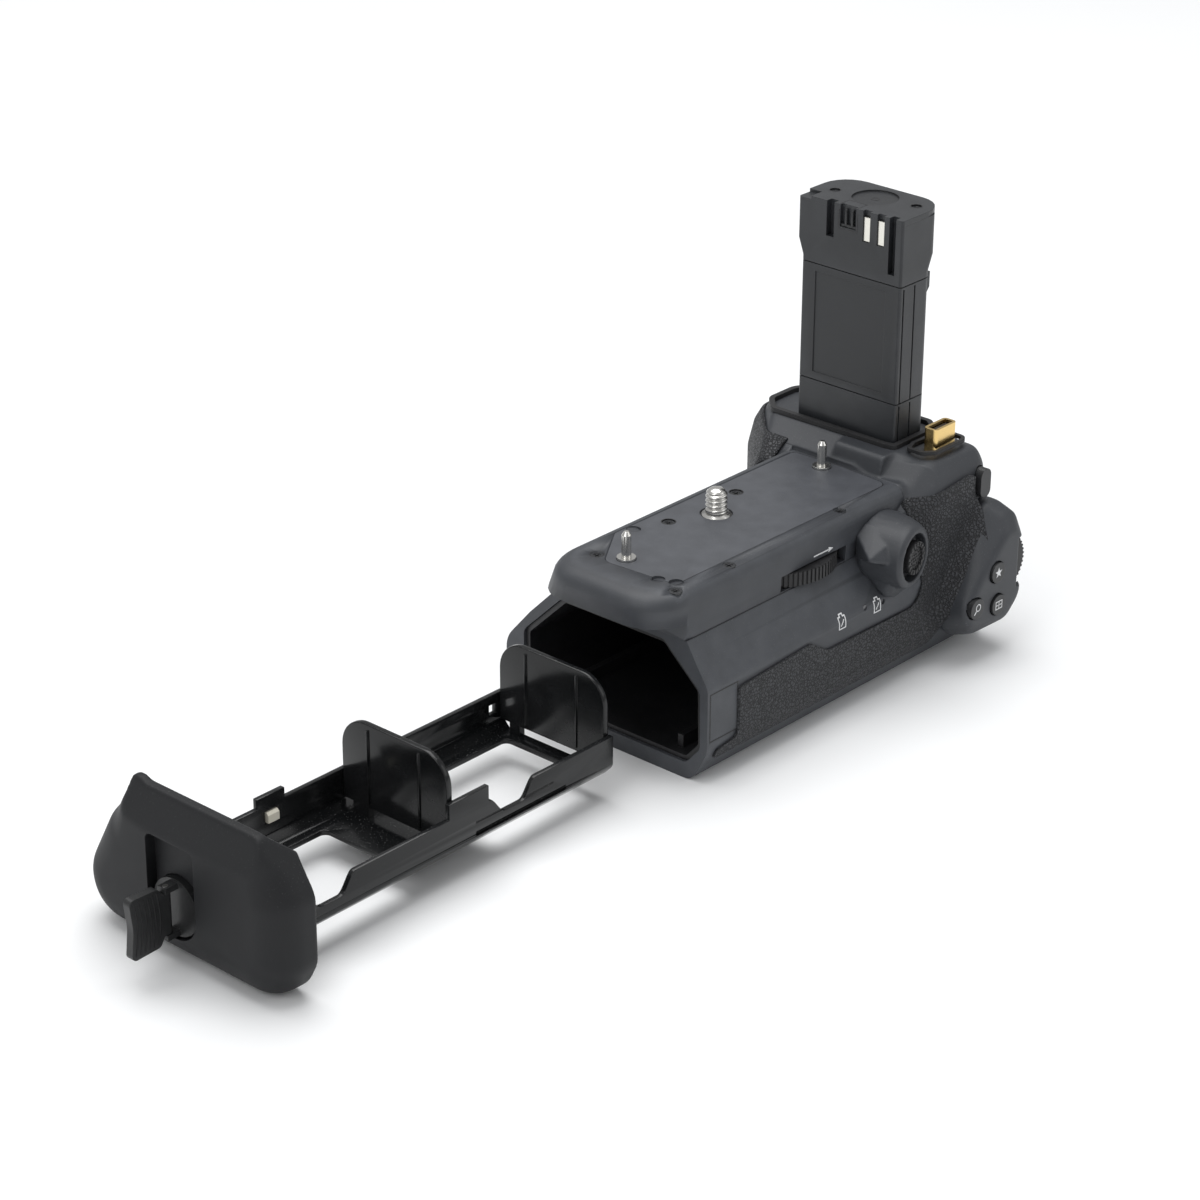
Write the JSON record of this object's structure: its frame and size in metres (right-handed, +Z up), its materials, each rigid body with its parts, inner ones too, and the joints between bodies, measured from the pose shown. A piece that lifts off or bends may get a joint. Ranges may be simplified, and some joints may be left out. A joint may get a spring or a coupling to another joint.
{
  "type": "camera battery grip",
  "caption": "Vertical camera battery grip with a battery-shaped stick, tripod screw and lock wheel, rear controls and a pulled-out battery tray with a key-locked end cap.",
  "frame": {"origin": "on the mating face of the grip, at the axis of the tripod screw", "axes": "+X along the grip from the tray's end to the hand-grip end, +Y towards the front of the camera, +Z up into the camera, along the tripod screw"},
  "size_m": [0.3133, 0.0887, 0.1333],
  "materials": {
    "casing": "finely textured black polycarbonate",
    "cap_casing": "soft matte black polycarbonate",
    "plate": "smooth black plate",
    "inner_black": "plain black moulding",
    "tray_plastic": "black glass-filled nylon with a slight sheen",
    "rubber": "leather-grained black rubber",
    "gasket": "soft black sealing rubber",
    "stick_plastic": "fine matte black moulding",
    "control": "black control plastic",
    "knurled": "ribbed black plastic",
    "cap_white": "cream nylon",
    "steel": "turned steel",
    "bright_steel": "polished steel",
    "black_screw": "blackened steel",
    "bronze": "sintered bronze",
    "gold": "gold-plated contact metal",
    "contact_metal": "nickel-plated contact blades",
    "board": "green circuit board",
    "lamp": "smoked lamp lens"
  },
  "bodies": {
    "grip": {"top_cover": "casing", "mating_plate": "plate", "rear_shell": "casing", "front_shell": "casing", "base_cover": "casing", "chamber": "inner_black", "guide_rails": "inner_black", "contact_block": "inner_black", "contact_pins": "gold", "circuit_board": "board", "rear_rubber": "rubber", "front_rubber": "rubber", "rear_door": "casing", "front_door": "casing", "control_housing": "casing", "joystick_guard": "casing", "led_lenses": "lamp", "locating_pins": "bright_steel", "plate_screws": "black_screw", "base_screws": "black_screw", "tripod_bush": "steel", "screw_bearing": "bronze", "lock_axle": "steel", "stick_foot": "stick_plastic", "stick_middle": "stick_plastic", "stick_head": "stick_plastic", "stick_lid": "stick_plastic", "stick_rail": "stick_plastic", "stick_contacts": "contact_metal", "stick_gasket": "gasket", "connector_gasket": "gasket", "connector_shell": "gold", "connector_core": "inner_black", "dial_axle": "steel", "front_dial_axle": "steel"},
    "wheel": {"lock_wheel": "knurled"},
    "screw": {"tripod_screw": "steel"},
    "gimbal": {"joystick_ring": "control"},
    "knob": {"joystick_knob": "knurled"},
    "star": {"star_button": "control"},
    "grid": {"grid_button": "control"},
    "zoom": {"zoom_button": "control"},
    "oval": {"oval_button": "control"},
    "shutter": {"shutter_button": "control"},
    "dial": {"rear_dial": "knurled"},
    "second_dial": {"front_dial": "knurled"},
    "tray": {"tray_frame": "tray_plastic", "middle_divider": "tray_plastic", "end_divider": "tray_plastic", "tray_contacts": "contact_metal", "cap_shell": "cap_casing", "cap_liner": "inner_black"},
    "key": {"key_hub": "control", "key_pin": "steel"},
    "paddle": {"key_paddle": "control"},
    "catch_one": {"latch_one": "cap_white"},
    "catch_two": {"latch_two": "cap_white"}
  },
  "joints": [
    {"name": "tray_slide", "type": "slide", "parent": "grip", "child": "tray", "axis": [1, 0, 0], "range_m": [0, 0.148]},
    {"name": "key_turn", "type": "hinge", "parent": "tray", "child": "key", "pos_m": [-0.2041, 0.0024, -0.041], "axis": [1, 0, 0], "range_deg": [0, 90]},
    {"name": "key_fold", "type": "hinge", "parent": "key", "child": "paddle", "pos_m": [-0.2097, 0.0024, -0.041], "axis": [0, 0, 1], "range_deg": [0, 90]},
    {"name": "catch_one_press", "type": "slide", "parent": "tray", "child": "catch_one", "axis": [0, 1, 0], "range_m": [0, 0.0008], "stiffness_N_per_m": 300},
    {"name": "catch_two_press", "type": "slide", "parent": "tray", "child": "catch_two", "axis": [0, 1, 0], "range_m": [0, 0.0008], "stiffness_N_per_m": 300},
    {"name": "wheel_turn", "type": "hinge", "parent": "grip", "child": "wheel", "pos_m": [0.0098, -0.01265, -0.012], "axis": [0, 0, 1], "continuous": true},
    {"name": "screw_turn", "type": "hinge", "parent": "grip", "child": "screw", "pos_m": [0, 0, 0], "axis": [0, 0, 1], "continuous": true},
    {"name": "joystick_sideways", "type": "hinge", "parent": "grip", "child": "gimbal", "pos_m": [0.0377, -0.033, -0.0144], "axis": [0, 0, 1], "range_deg": [-5, 5], "stiffness_Nm_per_rad": 0.05},
    {"name": "joystick_upright", "type": "hinge", "parent": "gimbal", "child": "knob", "pos_m": [0.0377, -0.033, -0.0144], "axis": [0.9848, 0.1736, 0], "range_deg": [-5, 5], "stiffness_Nm_per_rad": 0.05},
    {"name": "star_press", "type": "slide", "parent": "grip", "child": "star", "axis": [0, 1, 0], "range_m": [0, 0.0007], "stiffness_N_per_m": 400},
    {"name": "grid_press", "type": "slide", "parent": "grip", "child": "grid", "axis": [0, 1, 0], "range_m": [0, 0.0007], "stiffness_N_per_m": 400},
    {"name": "zoom_press", "type": "slide", "parent": "grip", "child": "zoom", "axis": [0, 1, 0], "range_m": [0, 0.0007], "stiffness_N_per_m": 400},
    {"name": "oval_press", "type": "slide", "parent": "grip", "child": "oval", "axis": [0, 1, 0], "range_m": [0, 0.0007], "stiffness_N_per_m": 400},
    {"name": "shutter_press", "type": "slide", "parent": "grip", "child": "shutter", "axis": [-1, 0, 0], "range_m": [0, 0.0007], "stiffness_N_per_m": 400},
    {"name": "rear_dial_turn", "type": "hinge", "parent": "grip", "child": "dial", "pos_m": [0.0816, -0.041, -0.03], "axis": [0, 1, 0], "continuous": true},
    {"name": "front_dial_turn", "type": "hinge", "parent": "grip", "child": "second_dial", "pos_m": [0.0816, 0.009, -0.0062], "axis": [0, 1, 0], "continuous": true}
  ],
  "couplings": [
    {"joint": "screw_turn", "follows": "wheel_turn", "ratio": -1.6667}
  ]
}
